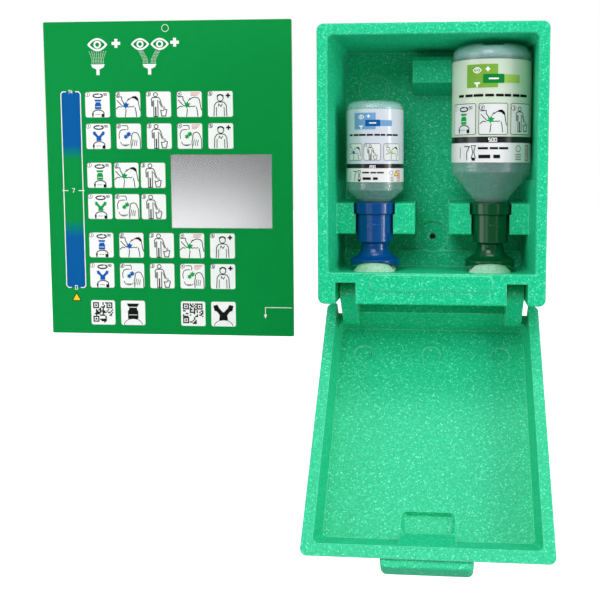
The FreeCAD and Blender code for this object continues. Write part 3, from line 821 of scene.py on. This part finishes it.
wordBars = ((-36.6, -29.6), (-27.8, -19.6), (-18.8, -9.4), (-7.6, 0.4), (2.2, 9.4), (10.2, 16.6), (18.4, 26.2),
            (27.0, 36.6))  # plain bars that stand in for a line of words
labelSet = {
    "large": {"body": "large_bottle_unit", "scale": 1.0, "inks": ("olive", "deepGreen", "lime"), "volume": "500",
              "frames": ((-43.8, -16.4), (-13.3, 13.3), (16.6, 42.0)), "row": (40.2, 68.4),
              "draws": (lambda p: drawTwist(p, "green", False, 1), lambda p: drawHead(p, "green", 2),
                        lambda p: drawBin(p, 3))},
    "small": {"body": "small_bottle_unit", "scale": 0.735, "inks": ("sky", "navy", "sky"), "volume": "200",
              "frames": ((-27.5, -10.4), (-8.5, 7.5), (10.6, 29.0)), "row": (32.4, 47.9),
              "draws": (lambda p: drawHead(p, "navy", 2), lambda p: drawBin(p, 3),
                        lambda p: drawHead(p, "lime", 4))}}


def labelPrint(size):
    values = labelSet[size]
    low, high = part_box(size + "_label")
    middle, radius = (low + high) / 2, (high.x - low.x) / 2 + 0.05 * mm

    def place(x, y, lift):
        turn, reach = x * mm / radius, radius + lift
        return Vector((middle.x + reach * math.sin(turn), middle.y - reach * math.cos(turn), high.z - y * mm))

    sheet = Print(place, 1.5)
    scale = values["scale"]
    pen = Pen(sheet, 0, 0, scale, level=1)
    badge, pill, tail = values["inks"]
    pen.rect(badge, -26.0, 4.8, 3.8, 25.8)
    over = Pen(sheet, 0, 0, scale, level=2)
    drawEye(over, -15.4, 10.2, 8.8, 5.8, badge)
    over.plus("white", -5.4, 9.2, 2.1, 0.7)
    drawShower(Pen(sheet, -15.4 * scale, 21.0 * scale, 0.42 * scale, level=2), 0, 0, 14.6)
    over.rounded(tail, -4.0, 14.2, 26.0, 21.6, 1.2)
    over.rounded(pill, -9.7, 13.8, 9.7, 22.0, 1.2, 4)
    over.rounded("white", -4.5, 17.2, 4.6, 18.6, 0.5, 5)
    for x0, x1 in wordBars:
        pen.rounded("black", x0, 31.7, x1, 34.1, 0.5)
    top, bottom = values["row"]
    for (x0, x1), draw in zip(values["frames"], values["draws"]):
        edge = Pen(sheet, level=1)
        edge.rounded("pale", x0, top, x1, bottom, 1.6)
        side = min(x1 - x0, bottom - top) * 0.95
        draw(Pen(sheet, (x0 + x1 - side) / 2, (top + bottom - side) / 2, side / 100, level=3, bold=1.3))
        outline = edge.corners(x0, top, x1, bottom, 1.6, 4)
        edge.line("black", outline + outline[:1], 0.5 * scale, 2)
    pen.digits("white", values["volume"], -4.0, 71.8, 3.0, 0.6)
    for x0, x1 in ((-14.0, -4.6), (-2.8, 4.6), (5.6, 14.4)):
        pen.rect("black", x0, 80.0, x1, 82.0)
    for x0, x1 in ((-13.4, -2.4), (0.4, 6.6)):
        pen.rect("black", x0, 87.0, x1, 90.2)
    pen.line("black", [(-28.6, 79.4), (-22.6, 79.4), (-25.6, 84.4), (-25.6, 92.0)], 0.8)
    pen.line("grey", [(-34.0, 80.0), (-34.0, 90.0)], 0.8)
    pen.line("black", [(-20.6, 78.6), (-16.4, 78.6), (-18.0, 84.6), (-16.4, 90.0), (-20.6, 90.0),
                       (-19.0, 84.6), (-20.6, 78.6)], 0.7)
    pen.rect("black", -20.2, 90.0, -16.8, 92.4)
    pen.ring("grey", 25.4, 81.4, 2.8, 0.7)
    for y in (86.4, 88.6, 90.8):
        pen.rect("grey", 22.0, y, 29.0, y + 0.8)
    pen.line("red", [(35.6, 78.4), (40.4, 78.4), (40.4, 92.0), (35.6, 92.0), (35.6, 78.4)], 0.8)
    pen.rect("red", 37.6, 81.0, 38.6, 89.0)
    if size == "small":
        pen.poly("black", [(33.4, 77.8), (37.2, 85.4), (29.6, 85.4)], 2)
        pen.poly("yellow", [(33.4, 79.2), (36.2, 84.8), (30.6, 84.8)], 3)
    sheet.build(size + "LabelPrint", values["body"], size + "_label")
    print(size + " label printed")


for size in labelSet:
    labelPrint(size)
print("label prints made")
